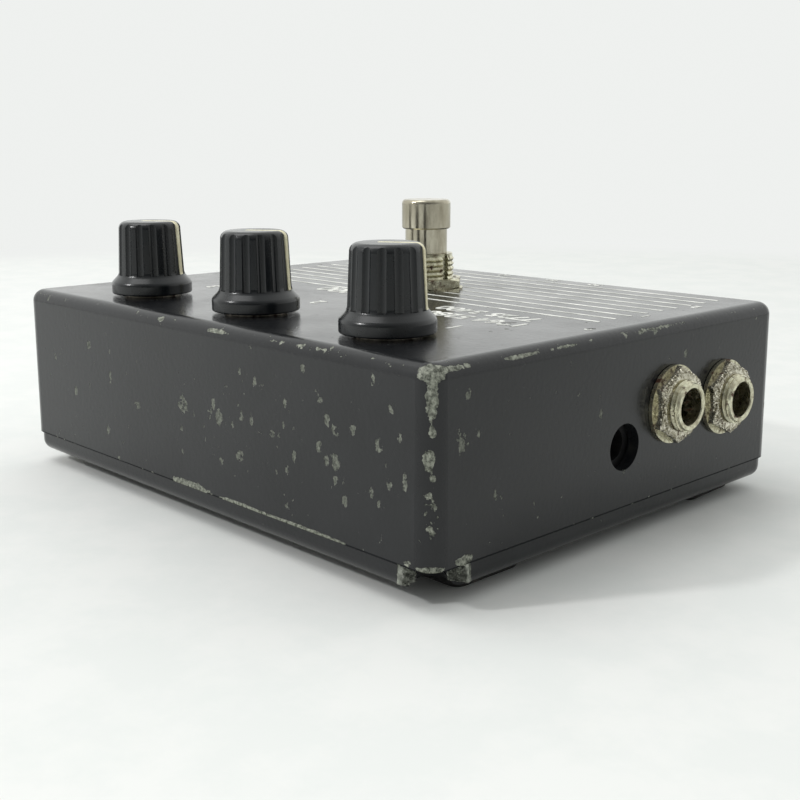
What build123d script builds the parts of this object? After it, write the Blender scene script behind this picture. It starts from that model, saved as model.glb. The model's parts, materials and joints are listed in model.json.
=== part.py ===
"""Guitar effects pedal: die-cast case, three knobs, foot switch, two jack sockets and a power socket.

Frame: +Z up, +X the socket side, -Y the knob side, +Y the player's side. Millimetres. The case is drawn
about its own middle, and save() moves it so that the origin is on the floor under the middle of the
whole pedal, sockets included.
"""
from build123d import *
import math
import os

# ---- case ----------------------------------------------------------------
case_length = 119.5  # along X, at the parting line
case_width = 93.7  # along Y, at the parting line
shell_height = 30.2  # above the parting line
shell_draft = 0.6  # degrees, so that the casting leaves its mould
wall = 2.2
top_thickness = 2.2
corner_radius = 3.5
top_edge_radius = 2.4
inner_corner_radius = 1.6
post_inset = 5.2  # screw post axis from the outer faces
post_radius = 4.2

base_thickness = 4.0
base_step = 0.35  # the base plate is this much smaller all round
base_edge_radius = 2.2
lip_height = 2.0
lip_thickness = 1.5
lip_clearance = 0.25
break_radius = 7.6  # round scoop of the broken corner
break_lean = 0.8  # the scoop is this much wider at the bottom
break_centre_x = 1.45  # scoop centre beyond the case's end
break_centre_y = 0.45  # scoop centre inside the knob side

screw_radius = 1.75
screw_head_radius = 3.3
screw_head_height = 1.9
screw_length = 14.0
screw_slot_width = 0.9
screw_slot_depth = 0.9
thread_fit = 0.02  # radial, a thread drawn as a plain cylinder

foot_side = 15.0
foot_height = 2.5
foot_corner_radius = 2.0
foot_edge_radius = 0.7
foot_side_inset = 5.0  # foot edge from the case's ends
foot_knob_inset = 10.8  # foot edge from the knob side
foot_player_inset = 4.8  # foot edge from the player's side
foot_turns = {"foot_1": 0.0, "foot_2": 3.0, "foot_3": -2.0, "foot_4": 1.5}  # degrees, stuck on by hand

# ---- knobs and potentiometers ---------------------------------------------
knob_pitch = 34.5
knob_row_x = 1.4
knob_row_inset = 14.15  # knob centres from the knob side
knob_gap = 0.5  # knob above the case
knob_height = 14.1
knob_base_radius = 7.84
knob_skirt_height = 2.2
knob_neck_radius = 6.42
knob_neck_height = 3.7
knob_top_radius = 5.93
knob_shoulder_radius = 1.0
knob_neck_fillet = 1.5
knob_top_fillet = 1.4
knob_hem_fillet = 0.3
flute_count = 15
flute_radius = 1.05
flute_depth = 0.38
pointer_width = 1.3
pointer_depth = 0.6
pointer_back = 1.5  # the line starts this far behind the middle
pointer_angle = 33.0  # degrees from +X at rest, fully anticlockwise
knob_bore_depth = 10.7  # from the knob's foot
knob_nut_room = 0.5  # round the nut and over it

shaft_radius = 3.0
running_fit = 0.05
knob_fit = 0.02
pot_bush_radius = 3.5
pot_bush_rise = 5.0  # above the case
panel_hole_fit = 0.15
pot_washer_radius = 5.5
pot_washer_thickness = 0.5
pot_nut_flats = 10.0
pot_nut_thickness = 2.0
pot_plate_thickness = 1.0
pot_can_radius = 8.2
pot_can_depth = 6.5
pot_can_wall = 0.5
wafer_thickness = 1.2
wafer_tongue_width = 13.0
wafer_tongue_reach = 10.0
wiper_radius = 6.4
wiper_thickness = 1.0
wiper_gap = 0.3
pot_lug_pitch = 5.0
pot_lug_width = 1.3
pot_lug_thickness = 0.4
pot_lug_length = 6.0
pot_lug_lap = 1.0  # riveted onto the wafer

# ---- foot switch -----------------------------------------------------------
switch_x = -1.5
switch_setback = 45.9  # switch centre from the row of knobs
switch_bush_radius = 5.75
switch_bush_rise = 7.4
switch_thread_pitch = 1.0
thread_depth = 0.35
keyway_width = 1.5
keyway_depth = 0.8
switch_washer_radius = 7.6
switch_washer_thickness = 0.4
switch_nut_flats = 14.0
switch_nut_thickness = 2.0
switch_frame_side = 17.0
switch_frame_thickness = 1.2
switch_body_depth = 11.0
switch_well_radius = 5.3
switch_well_depth = 9.0
plunger_radius = 4.3
plunger_retainer_radius = 4.95
plunger_retainer_height = 1.2
plunger_top_gap = 0.1  # retainer under the frame
plunger_travel = 3.5
cap_radius = 4.97
cap_under = 12.4  # cap's lower edge above the case
cap_height = 5.9
cap_edge_radius = 0.8
spigot_radius = 3.0
spigot_length = 4.0
spring_radius = 3.4
spring_wire_radius = 0.35
spring_turns = 4.5
switch_lug_width = 2.2
switch_lug_thickness = 0.5
switch_lug_length = 5.0
switch_lug_pitch = 5.0

# ---- jack sockets -----------------------------------------------------------
jack_insets = {"input": 34.75, "output": 18.35}  # from the player's side
jack_heights = {"input": 15.8, "output": 14.55}  # over parting
jack_nut_turns = {"input": 0.0, "output": 6.0}  # degrees
jack_thread_radius = 4.5
jack_thread_pitch = 0.8
jack_bore_radius = 3.2
jack_reach = 4.1  # rim from the wall
jack_washer_radius = 6.85
jack_washer_thickness = 0.7
jack_nut_flats = 11.8
jack_nut_thickness = 1.9
jack_flange_radius = 6.2
jack_flange_thickness = 1.2
jack_wall_gap = 0.15
jack_frame_side = 13.0
jack_frame_thickness = 1.0
jack_frame_play = 0.8  # hole in its plate, wider than the bore by this
jack_arm_length = 21.0
jack_arm_width = 9.0
jack_wafer_size = 6.5
jack_wafer_thickness = 0.9
jack_spring_thickness = 0.4
jack_spring_width = 4.0
jack_spring_bend = 2.4
jack_spring_straight = 1.0  # past its wafers, before it bends in
jack_spring_tip_gap = 2.0  # from the plate
jack_spring_tip_step = 1.0  # the tip ends this much inside the leaf's line
jack_lug_length = 6.0

# ---- power socket -----------------------------------------------------------
power_inset = 48.05  # from the player's side
power_height = 10.45  # over parting
power_hole_radius = 4.0
power_body_width = 9.0
power_body_height = 11.0
power_body_depth = 13.0
power_barrel_radius = 2.85
power_barrel_depth = 9.5
power_pin_radius = 1.0
power_pin_setback = 1.0
power_lug_length = 4.0
power_lug_pitch = 3.0
power_wall_gap = 0.2
power_edge_radius = 0.6

# ---- circuit board ----------------------------------------------------------
board_socket_gap = 1.1  # from the board's end to the power socket
board_battery_gap = 2.5  # from its other end to the battery, seen from above
board_width = 24.0
board_thickness = 1.6
board_lap = 3.5  # the board's edge passes this far under the potentiometers' lugs
board_drop = 10.5  # board's upper face below the case ceiling
standoff_radius = 2.5
standoff_inset_x = 4.0
standoff_inset_y = 7.0
board_screw_radius = 1.45
board_screw_head_radius = 2.7
board_screw_head_height = 1.4
board_screw_head_edge = 0.6
board_screw_slot = 0.7
board_screw_reach = 4.0  # into the stand-off
board_screw_room = 0.5  # past the screw's end
can_edge_radius = 0.4
film_edge_radius = 0.5
electrolytic_radius = 3.15
electrolytic_height = 7.5
film_size = (7.2, 3.0, 6.0)
resistor_radius = 1.15
resistor_length = 6.2
transistor_radius = 2.35
transistor_height = 4.8
# places on the board, from its middle
electrolytic_places = [(-18, 7), (-9, 7.5), (16, 7), (18, -6.5)]
film_places = [(-16, -1), (-6, -1), (4, -1), (3, 8), (8.5, -8)]
resistor_places = [(-14, -9.5), (-5, -9.5), (-14, -6), (-5, -6), (-16, 2.6), (-7, 2.6), (1.5, -5),
                   (9, 3), (13.5, 0)]
transistor_places = [(9, 9), (23, 0), (12, -4)]

# ---- battery ----------------------------------------------------------------
battery_length = 48.5
battery_width = 26.5
battery_height = 17.5
battery_edge_radius = 2.0
battery_play = 0.4  # from the clip to the base's lip, and from the snap to the screw post
clip_width = 12.0
clip_height = 14.0
clip_thickness = 0.8
clip_fit = 0.3
clip_offset = 7.3  # clip's middle from the battery's, towards its blank end
stud_radius = 2.9
ring_radius = 4.1
ring_wall = 1.0
stud_height = 2.6
stud_spacing = 12.7
snap_length = 25.0
snap_width = 12.0
snap_thickness = 2.2
snap_corner_radius = 3.0
snap_gap = 0.3

# ---- wires ------------------------------------------------------------------
wire_radius = 0.5
wire_drop = 4.8  # wires hang this far under the foot switch's lugs
wire_spacing = 1.8  # between wires side by side
wire_edge = 1.2  # wires meet the board this far inside its edge
arc_share = 0.45  # of the shorter run that an arc takes

# ---- worked-out places ------------------------------------------------------
base_bottom = foot_height
parting = base_bottom + base_thickness
top = parting + shell_height
ceiling = top - top_thickness
draft_slope = math.tan(math.radians(shell_draft))
post_x = case_length / 2 - post_inset
post_y = case_width / 2 - post_inset
knob_xs = [knob_row_x + knob_pitch * n for n in (1, 0, -1)]
knob_row_y = knob_row_inset - case_width / 2
wafer_low = ceiling - pot_plate_thickness - wafer_thickness
switch_y = knob_row_y + switch_setback
switch_frame_top = ceiling - switch_nut_thickness
switch_frame_low = switch_frame_top - switch_frame_thickness
switch_body_low = switch_frame_low - switch_body_depth
switch_lug_low = switch_body_low - switch_lug_length
jack_ys = {name: case_width / 2 - inset for name, inset in jack_insets.items()}
power_y = case_width / 2 - power_inset
jack_lean = jack_washer_radius * draft_slope  # the wall leans, so a washer stands off at its top
jack_plate_low = -wall - jack_wall_gap - 2 * jack_lean - jack_flange_thickness - jack_frame_thickness
jack_arm_face = jack_frame_side / 2 - jack_frame_thickness
jack_leaf_offset = jack_arm_face - jack_wafer_thickness - jack_spring_thickness / 2
board_top = ceiling - board_drop
board_low = board_top - board_thickness
board_y = knob_row_y + wafer_tongue_reach + pot_lug_length - pot_lug_lap - board_lap + board_width / 2
battery_clearance = wall + 2 * lip_clearance + lip_thickness + battery_play + clip_thickness + clip_fit
battery_x = battery_clearance + (battery_width - case_length) / 2
battery_end = post_y - post_radius - battery_play - snap_thickness - snap_gap - stud_height
battery_y = battery_end - battery_length / 2
battery_low = parting + clip_thickness
power_front = -wall - power_wall_gap - power_body_height * draft_slope  # from the wall's outer face
power_back = power_front - power_body_depth
board_end = case_length / 2 - power_height * draft_slope + power_back - board_socket_gap
board_start = battery_x + battery_width / 2 + board_battery_gap
board_length = board_end - board_start
board_x = (board_end + board_start) / 2
origin_x = max(jack_reach + jack_lean - height * draft_slope for height in jack_heights.values()) / 2

os.makedirs("parts", exist_ok=True)


def save(shape, name):
    """Writes one sub-part, with the origin under the middle of the whole pedal."""
    export_step(Pos(-origin_x, 0, 0) * shape, f"parts/{name}.step")


def disc(radius, height, z=0.0):
    """Upright cylinder standing on z."""
    return Pos(0, 0, z) * Cylinder(radius, height, align=(Align.CENTER, Align.CENTER, Align.MIN))


def block(x, y, z, low=0.0):
    """Box centred on the Z axis, standing on low."""
    return Pos(0, 0, low) * Box(x, y, z, align=(Align.CENTER, Align.CENTER, Align.MIN))


def ring(outer, inner, height, z=0.0):
    """Flat ring standing on z."""
    return disc(outer, height, z) - disc(inner, height, z)


def hexagon(flats, height, z=0.0, turn=0.0):
    """Hexagonal prism, with its flats facing +-Y when turn is 0."""
    return Pos(0, 0, z) * Rot(0, 0, turn) * extrude(RegularPolygon(flats / 2, 6, major_radius=False), height)


def hex_nut(flats, height, bore, z=0.0, turn=0.0):
    """Nut whose corners are turned off to a cone above and below."""
    corner = flats / math.sqrt(3)
    bevel = (corner - flats / 2) * 0.9
    barrel = chamfer(disc(corner, height, z).edges(), bevel * 0.5, bevel)
    return (hexagon(flats, height, z, turn) & barrel) - disc(bore, height, z)


def threaded_rod(radius, pitch, low, high):
    """Cylinder from low to high, cut with V rings at the thread's pitch."""
    count = int((high - low) / pitch)
    points = [(0, low), (radius - thread_depth, low)]
    for n in range(count):
        points.append((radius, low + pitch * (n + 0.5)))
        points.append((radius - thread_depth, low + pitch * (n + 1)))
    points += [(radius - thread_depth, high), (0, high)]
    if high - (low + pitch * count) < 1e-6:
        points.pop(-2)
    profile = make_face(Polyline(*[(x, 0, z) for x, z in points], close=True))
    return revolve(profile, Axis.Z)


def inner_block(inset, height):
    """Drafted block that follows the outside of the shell, inset from it, standing on the parting plane."""
    radius = max(corner_radius - inset, inner_corner_radius)
    outline = RectangleRounded(case_length - 2 * inset, case_width - 2 * inset, radius)
    return Pos(0, 0, parting) * extrude(outline, height, taper=shell_draft)


def wall_x(height):
    """Outer face of the socket wall at a height over the parting line."""
    return case_length / 2 - height * draft_slope


def corners():
    """The four screw axes."""
    return [(sx * post_x, sy * post_y) for sx in (1, -1) for sy in (-1, 1)]


# ---- case pieces --------------------------------------------------------------
def make_shell():
    """Drafted open box with screw posts in its corners and the holes for what it carries."""
    outside = inner_block(0, shell_height)
    outside = fillet(outside.edges().group_by(Axis.Z)[-1], top_edge_radius)
    shell = outside - inner_block(wall, shell_height - top_thickness)
    for x, y in corners():
        post = Pos(x, y) * disc(post_radius, shell_height - top_thickness, parting)
        shell += post & inner_block(wall / 2, shell_height)
    for x, y in corners():
        shell -= Pos(x, y) * disc(screw_radius + thread_fit, screw_length, parting)
    for x in knob_xs:
        shell -= Pos(x, knob_row_y) * disc(pot_bush_radius + panel_hole_fit, top_thickness, ceiling)
    shell -= Pos(switch_x, switch_y) * disc(switch_bush_radius + panel_hole_fit, top_thickness, ceiling)
    for name, y in jack_ys.items():
        hole = disc(jack_thread_radius + panel_hole_fit, 3 * wall, -2 * wall)
        shell -= socket_place(y, jack_heights[name]) * hole
    shell -= socket_place(power_y, power_height) * disc(power_hole_radius, 3 * wall, -2 * wall)
    return shell


def make_base():
    """Cast plate with a locating lip, four countersunk holes and one corner broken away."""
    length = case_length - 2 * base_step
    width = case_width - 2 * base_step
    plate = Pos(0, 0, base_bottom) * extrude(RectangleRounded(length, width, corner_radius), base_thickness)
    plate = fillet(plate.edges().group_by(Axis.Z)[0], base_edge_radius)
    room = wall + lip_clearance
    lip = inner_block(room, lip_height) - inner_block(room + lip_thickness, lip_height)
    for x, y in corners():
        lip -= Pos(x, y) * disc(post_radius + lip_clearance, lip_height, parting)
        plate -= Pos(x, y) * disc(screw_radius + 2 * lip_clearance, base_thickness, base_bottom)
        plate -= Pos(x, y) * screw_head(thread_fit * 5)
    scoop = Cone(break_radius + break_lean, break_radius, base_thickness + lip_height)
    scoop_middle = base_bottom + (base_thickness + lip_height) / 2
    scoop = Pos(case_length / 2 + break_centre_x, break_centre_y - case_width / 2, scoop_middle) * scoop
    return plate + lip - scoop


def screw_head(grow=0.0):
    """Countersunk head, wide end down, flush with the underside of the base."""
    cone = Cone(screw_head_radius + grow, screw_radius + grow, screw_head_height + grow)
    return Pos(0, 0, base_bottom + (screw_head_height + grow) / 2) * cone


def make_base_screws():
    """Slotted countersunk screws in the three corners that are whole."""
    screws = []
    for x, y in corners()[1:]:
        shank = disc(screw_radius, screw_length - 1 + base_thickness - screw_head_height,
                     base_bottom + screw_head_height)
        slot = block(2 * screw_head_radius, screw_slot_width, screw_slot_depth, base_bottom)
        screws.append(Pos(x, y) * (screw_head() + shank - slot))
    return Compound(screws)


def make_foot(sx, sy, turn):
    """Square stick-on rubber pad."""
    pad = extrude(RectangleRounded(foot_side, foot_side, foot_corner_radius), foot_height)
    pad = fillet(pad.edges().group_by(Axis.Z)[0], foot_edge_radius)
    x = sx * (case_length / 2 - foot_side_inset - foot_side / 2)
    inset = foot_player_inset if sy > 0 else foot_knob_inset
    y = sy * (case_width / 2 - inset - foot_side / 2)
    return Pos(x, y) * Rot(0, 0, turn) * pad


# ---- knobs and potentiometers --------------------------------------------------
def knob_outline():
    """Half section of the knob: skirt, flare, tapered grip and rounded top, its foot at z = 0."""
    shoulder = (knob_base_radius, knob_skirt_height)
    neck = (knob_neck_radius, knob_neck_height)
    rim = (knob_top_radius, knob_height)
    hem = (knob_base_radius, 0)
    face = make_face(Polyline((0, 0), hem, shoulder, neck, rim, (0, knob_height), close=True))
    for point, radius in (
        (hem, knob_hem_fillet),
        (shoulder, knob_shoulder_radius),
        (neck, knob_neck_fillet),
        (rim, knob_top_fillet),
    ):
        corner = face.vertices().sort_by_distance((point[0], point[1], 0))[0]
        face = fillet(corner, radius)
    return face


def spun(face):
    """Turns a half section drawn in XY, with Y up, into a solid about Z."""
    return revolve(Rot(90, 0, 0) * face, Axis.Z)


def knob_form():
    """Outside of the knob with its flutes, one ridge left whole for the pointer."""
    form = spun(knob_outline())
    grip = knob_height - knob_neck_height
    lean = math.degrees(math.atan((knob_neck_radius - knob_top_radius) / grip))
    for n in range(flute_count):
        turn = 360.0 / flute_count * (n + 0.5)
        cutter = Pos(knob_neck_radius + flute_radius - flute_depth, 0, knob_neck_height)
        cutter *= Rot(0, -lean, 0)
        form -= Rot(0, 0, turn) * (cutter * disc(flute_radius, grip * 1.2))
    return form


def pointer_form():
    """Line let into the top and the side of the grip."""
    core = spun(offset(knob_outline(), -pointer_depth))
    core += disc(2 * pointer_depth, knob_height - pointer_depth)
    reach = knob_base_radius + pointer_back
    slab = Pos(reach / 2 - pointer_back, 0) * block(reach, pointer_width, knob_height, knob_neck_height)
    return (spun(knob_outline()) & slab) - core


def knob_hollow():
    """Room inside the knob for the nut, the bush and the shaft."""
    nut_room = max(pot_washer_radius, pot_nut_flats / math.sqrt(3)) + knob_nut_room
    nut_top = pot_washer_thickness + pot_nut_thickness + knob_nut_room - knob_gap
    bush_top = pot_bush_rise + knob_nut_room - knob_gap
    hollow = disc(nut_room, nut_top) + disc(pot_bush_radius + knob_nut_room / 2, bush_top)
    return hollow + disc(shaft_radius + knob_fit, knob_bore_depth)


def make_knobs():
    """Three knobs with their pointers, turned to the same rest mark."""
    pointer = pointer_form()
    knob = knob_form() - pointer - knob_hollow()
    for n, x in enumerate(knob_xs, 1):
        place = Pos(x, knob_row_y, top + knob_gap) * Rot(0, 0, pointer_angle)
        save(place * knob, f"knob_{n}")
        save(place * pointer, f"knob_pointer_{n}")


def make_potentiometers():
    """Three sealed potentiometers hung from the case by their nuts."""
    under = ceiling - pot_plate_thickness
    wiper_low = wafer_low - wiper_gap - wiper_thickness
    bush = disc(pot_bush_radius, pot_bush_rise + top_thickness, ceiling)
    bush += disc(pot_can_radius, pot_plate_thickness, under)
    bush -= disc(shaft_radius + running_fit, top + pot_bush_rise - under, under)
    tongue = Pos(0, wafer_tongue_reach / 2) * block(
        wafer_tongue_width, wafer_tongue_reach, wafer_thickness, wafer_low
    )
    inside = pot_can_radius - pot_can_wall
    wafer = disc(inside - running_fit, wafer_thickness, wafer_low) + tongue
    wafer -= disc(shaft_radius + 2 * running_fit, wafer_thickness, wafer_low)
    lugs = [
        Pos(pot_lug_pitch * n, wafer_tongue_reach + pot_lug_length / 2 - pot_lug_lap)
        * block(pot_lug_width, pot_lug_length, pot_lug_thickness, wafer_low - pot_lug_thickness)
        for n in (-1, 0, 1)
    ]
    can = disc(pot_can_radius, pot_can_depth, under - pot_can_depth)
    can -= disc(inside, pot_can_depth - pot_can_wall, under - pot_can_depth + pot_can_wall)
    slot_low = wafer_low - pot_lug_thickness - running_fit
    can -= Pos(0, wafer_tongue_reach / 2) * block(
        wafer_tongue_width + 2 * running_fit, wafer_tongue_reach, under - slot_low, slot_low
    )
    shaft_top = top + knob_gap + knob_bore_depth - running_fit
    shaft = disc(shaft_radius, shaft_top - wiper_low - wiper_thickness, wiper_low + wiper_thickness)
    wiper = disc(wiper_radius, wiper_thickness, wiper_low)
    for n, x in enumerate(knob_xs, 1):
        place = Pos(x, knob_row_y)
        save(place * shaft, f"pot_shaft_{n}")
        save(place * wiper, f"pot_wiper_{n}")
    bore = pot_bush_radius + thread_fit
    washer = ring(pot_washer_radius, bore, pot_washer_thickness, top)
    nut = hex_nut(pot_nut_flats, pot_nut_thickness, bore, top + pot_washer_thickness)
    groups = {"pot_bushes": [bush], "pot_wafers": [wafer], "pot_cans": [can], "pot_lugs": lugs,
              "pot_washers": [washer], "pot_nuts": [nut]}
    for name, pieces in groups.items():
        save(Compound([Pos(x, knob_row_y) * piece for x in knob_xs for piece in pieces]), name)


# ---- foot switch -----------------------------------------------------------------
def make_foot_switch():
    """Latching foot switch: threaded bush on a steel frame, sprung plunger with a cap, moulded body."""
    place = Pos(switch_x, switch_y)
    frame_top, frame_low, body_low = switch_frame_top, switch_frame_low, switch_body_low
    well_low = frame_low - switch_well_depth
    retainer_top = frame_low - plunger_top_gap
    retainer_low = retainer_top - plunger_retainer_height

    bush = threaded_rod(switch_bush_radius, switch_thread_pitch, frame_top, top + switch_bush_rise)
    for side in (1, -1):
        bush -= Pos(side * switch_bush_radius, 0) * block(
            2 * keyway_depth, keyway_width, top + switch_bush_rise - frame_top, frame_top
        )
    bush += block(switch_frame_side, switch_frame_side, switch_frame_thickness, frame_low)
    bush -= disc(plunger_radius + running_fit, top + switch_bush_rise - frame_low, frame_low)
    save(place * bush, "switch_bush")

    bore = switch_bush_radius + thread_fit
    save(place * ring(switch_washer_radius, bore, switch_washer_thickness, top), "switch_washer")
    upper = hex_nut(switch_nut_flats, switch_nut_thickness, bore, top + switch_washer_thickness, 12)
    save(place * upper, "switch_nut")
    save(place * hex_nut(switch_nut_flats, switch_nut_thickness, bore, frame_top), "switch_lower_nut")

    body = block(switch_frame_side, switch_frame_side, switch_body_depth, body_low)
    body = fillet(body.edges().filter_by(Axis.Z), 0.8)
    save(place * (body - disc(switch_well_radius, switch_well_depth, well_low)), "switch_body")

    lugs = [
        Pos(switch_lug_pitch * i, switch_lug_pitch * j)
        * block(switch_lug_width, switch_lug_thickness, switch_lug_length, switch_lug_low)
        for i in (-1, 0, 1)
        for j in (-1, 0, 1)
    ]
    save(Compound([place * lug for lug in lugs]), "switch_lugs")

    rod = disc(plunger_radius, top + cap_under - retainer_low, retainer_low)
    rod += disc(plunger_retainer_radius, plunger_retainer_height, retainer_low)
    rod += disc(spigot_radius, spigot_length, top + cap_under)
    save(place * rod, "plunger_rod")
    cap = disc(cap_radius, cap_height, top + cap_under)
    cap = fillet(cap.edges().group_by(Axis.Z)[-1], cap_edge_radius)
    cap = chamfer(cap.edges().group_by(Axis.Z)[0], 0.25)
    cap -= disc(spigot_radius + knob_fit, spigot_length + knob_fit, top + cap_under)
    save(place * cap, "plunger_cap")

    length = retainer_low - well_low - 2 * spring_wire_radius - 2 * thread_fit
    path = Helix(length / spring_turns, length, spring_radius)
    section = Plane(origin=path @ 0, z_dir=path % 0) * Circle(spring_wire_radius)
    spring = sweep(section, path=path, is_frenet=True)
    low = well_low + spring_wire_radius + thread_fit
    save(place * Pos(0, 0, low) * spring, "plunger_spring")


# ---- sockets on the end wall --------------------------------------------------------
def socket_place(y, height):
    """Local frame on the outside of the socket wall: Z out of the case along +X."""
    return Pos(wall_x(height), y, parting + height) * Rot(0, 90, 0)


def jack_place(name):
    """Local frame of a jack's washer seat."""
    return Pos(jack_lean, 0, 0) * socket_place(jack_ys[name], jack_heights[name])


def make_jack_bush(name):
    """Threaded sleeve with its flange, bored for the plug."""
    flange_low = jack_plate_low + jack_frame_thickness
    thread_low = flange_low + jack_flange_thickness
    bush = threaded_rod(jack_thread_radius, jack_thread_pitch, thread_low, jack_reach)
    bush += disc(jack_flange_radius, jack_flange_thickness, flange_low)
    bush -= disc(jack_bore_radius, jack_reach - flange_low, flange_low)
    save(jack_place(name) * bush, f"jack_bush_{name}")


def make_jack_nut(name):
    """Hexagonal nut outside the wall."""
    bore = jack_thread_radius + thread_fit
    nut = hex_nut(jack_nut_flats, jack_nut_thickness, bore, jack_washer_thickness, jack_nut_turns[name])
    save(jack_place(name) * nut, f"jack_nut_{name}")


def make_jack_frame(name):
    """Plate behind the flange with an arm that carries the tip spring."""
    plate = block(jack_frame_side, jack_frame_side, jack_frame_thickness, jack_plate_low)
    plate -= disc(jack_bore_radius + jack_frame_play, jack_frame_thickness, jack_plate_low)
    arm = block(jack_frame_thickness, jack_arm_width, jack_arm_length, jack_plate_low - jack_arm_length)
    arm = Pos(jack_arm_face + jack_frame_thickness / 2, 0) * arm
    save(jack_place(name) * (plate + arm), f"jack_frame_{name}")


def make_jack_spring(name):
    """Tip spring: a leaf that leaves its wafers, bends in to the plug and ends in a solder lug."""
    stack_low = jack_plate_low - jack_arm_length
    points = [
        (jack_leaf_offset, stack_low - jack_lug_length),
        (jack_leaf_offset, stack_low + jack_wafer_size + jack_spring_straight),
        (jack_spring_bend, jack_plate_low - jack_wafer_size),
        (jack_leaf_offset - jack_spring_tip_step, jack_plate_low - jack_spring_tip_gap),
    ]
    outline = strip_outline(points, jack_spring_thickness)
    leaf = extrude(make_face(outline), jack_spring_width / 2, dir=(0, 1, 0), both=True)
    save(jack_place(name) * leaf, f"jack_tip_spring_{name}")


def make_jack_washers():
    """Flat washers under both nuts."""
    washer = ring(jack_washer_radius, jack_thread_radius + thread_fit, jack_washer_thickness)
    save(Compound([jack_place(name) * washer for name in jack_ys]), "jack_washers")


def make_jack_wafers():
    """Insulating wafers on both sides of each tip spring."""
    wafer = block(jack_wafer_thickness, jack_arm_width, jack_wafer_size, jack_plate_low - jack_arm_length)
    stand = (jack_wafer_thickness + jack_spring_thickness) / 2
    pair = [Pos(jack_leaf_offset + side * stand, 0) * wafer for side in (1, -1)]
    save(Compound([jack_place(name) * piece for name in jack_ys for piece in pair]), "jack_wafers")


def strip_outline(points, thickness):
    """Outline of a strip of even thickness about a line of points in the XZ plane."""
    left, right = [], []
    for n, (x, z) in enumerate(points):
        legs = [leg for leg in zip(points, points[1:]) if points[n] in leg]
        normals = []
        for (ax, az), (bx, bz) in legs:
            length = math.hypot(bx - ax, bz - az)
            normals.append(((bz - az) / length, (ax - bx) / length))
        nx = sum(normal[0] for normal in normals) / len(normals)
        nz = sum(normal[1] for normal in normals) / len(normals)
        half = thickness / 2 / (nx * nx + nz * nz)
        left.append((x + nx * half, 0, z + nz * half))
        right.append((x - nx * half, 0, z - nz * half))
    return Polyline(*left, *reversed(right), close=True)


def make_power_socket():
    """Moulded barrel socket glued behind its hole, with a centre pin and three lugs."""
    place = socket_place(power_y, power_height)
    barrel_low = power_front - power_barrel_depth
    body = block(power_body_height, power_body_width, power_body_depth, power_back)
    body = fillet(body.edges().filter_by(Axis.Z), power_edge_radius)
    save(place * (body - disc(power_barrel_radius, power_barrel_depth, barrel_low)), "power_socket_body")
    pin = disc(power_pin_radius, power_barrel_depth - power_pin_setback, barrel_low)
    save(place * fillet(pin.edges().group_by(Axis.Z)[-1], power_pin_radius * 0.6), "power_socket_pin")
    lugs = [
        Pos(0, n * power_lug_pitch)
        * block(switch_lug_thickness, switch_lug_width, power_lug_length, power_back - power_lug_length)
        for n in (-1, 0, 1)
    ]
    save(Compound([place * lug for lug in lugs]), "power_socket_lugs")


# ---- circuit board -------------------------------------------------------------------
def board_spots():
    """Where the four stand-offs meet the board."""
    dx = board_length / 2 - standoff_inset_x
    dy = board_width / 2 - standoff_inset_y
    return [(board_x + sx * dx, board_y + sy * dy) for sx in (1, -1) for sy in (1, -1)]


def make_board():
    """Board hung from the ceiling on stand-offs, with its components underneath."""
    board = Pos(board_x, board_y) * block(board_length, board_width, board_thickness, board_low)
    for x, y in board_spots():
        board -= Pos(x, y) * disc(board_screw_radius + thread_fit, board_thickness, board_low)
    save(board, "circuit_board")

    standoff = disc(standoff_radius, board_drop, board_top)
    standoff -= disc(board_screw_radius + thread_fit, board_screw_reach + board_screw_room, board_top)
    save(Compound([Pos(x, y) * standoff for x, y in board_spots()]), "board_standoffs")
    screw = disc(board_screw_radius, board_screw_reach + board_thickness, board_low)
    head_low = board_low - board_screw_head_height
    head = disc(board_screw_head_radius, board_screw_head_height, head_low)
    head = fillet(head.edges().group_by(Axis.Z)[0], board_screw_head_edge)
    slot = block(2 * board_screw_head_radius, board_screw_slot, board_screw_slot, head_low)
    save(Compound([Pos(x, y) * (screw + head - slot) for x, y in board_spots()]), "board_screws")

    can = disc(electrolytic_radius, electrolytic_height, board_low - electrolytic_height)
    can = fillet(can.edges().group_by(Axis.Z)[0], can_edge_radius)
    film = block(*film_size, board_low - film_size[2])
    film = fillet(film.edges().group_by(Axis.Z)[0], film_edge_radius)
    resistor = Rot(0, 90, 0) * Cylinder(resistor_radius, resistor_length)
    resistor = Pos(0, 0, board_low - resistor_radius) * resistor
    transistor = disc(transistor_radius, transistor_height, board_low - transistor_height)
    transistor -= Pos(0, -transistor_radius * 1.5) * block(
        3 * transistor_radius, 2 * transistor_radius, transistor_height, board_low - transistor_height
    )
    components = {
        "electrolytic_capacitors": (can, electrolytic_places),
        "film_capacitors": (film, film_places),
        "resistors": (resistor, resistor_places),
        "transistors": (transistor, transistor_places),
    }
    for name, (component, places) in components.items():
        save(Compound([Pos(board_x + x, board_y + y) * component for x, y in places]), name)


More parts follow.
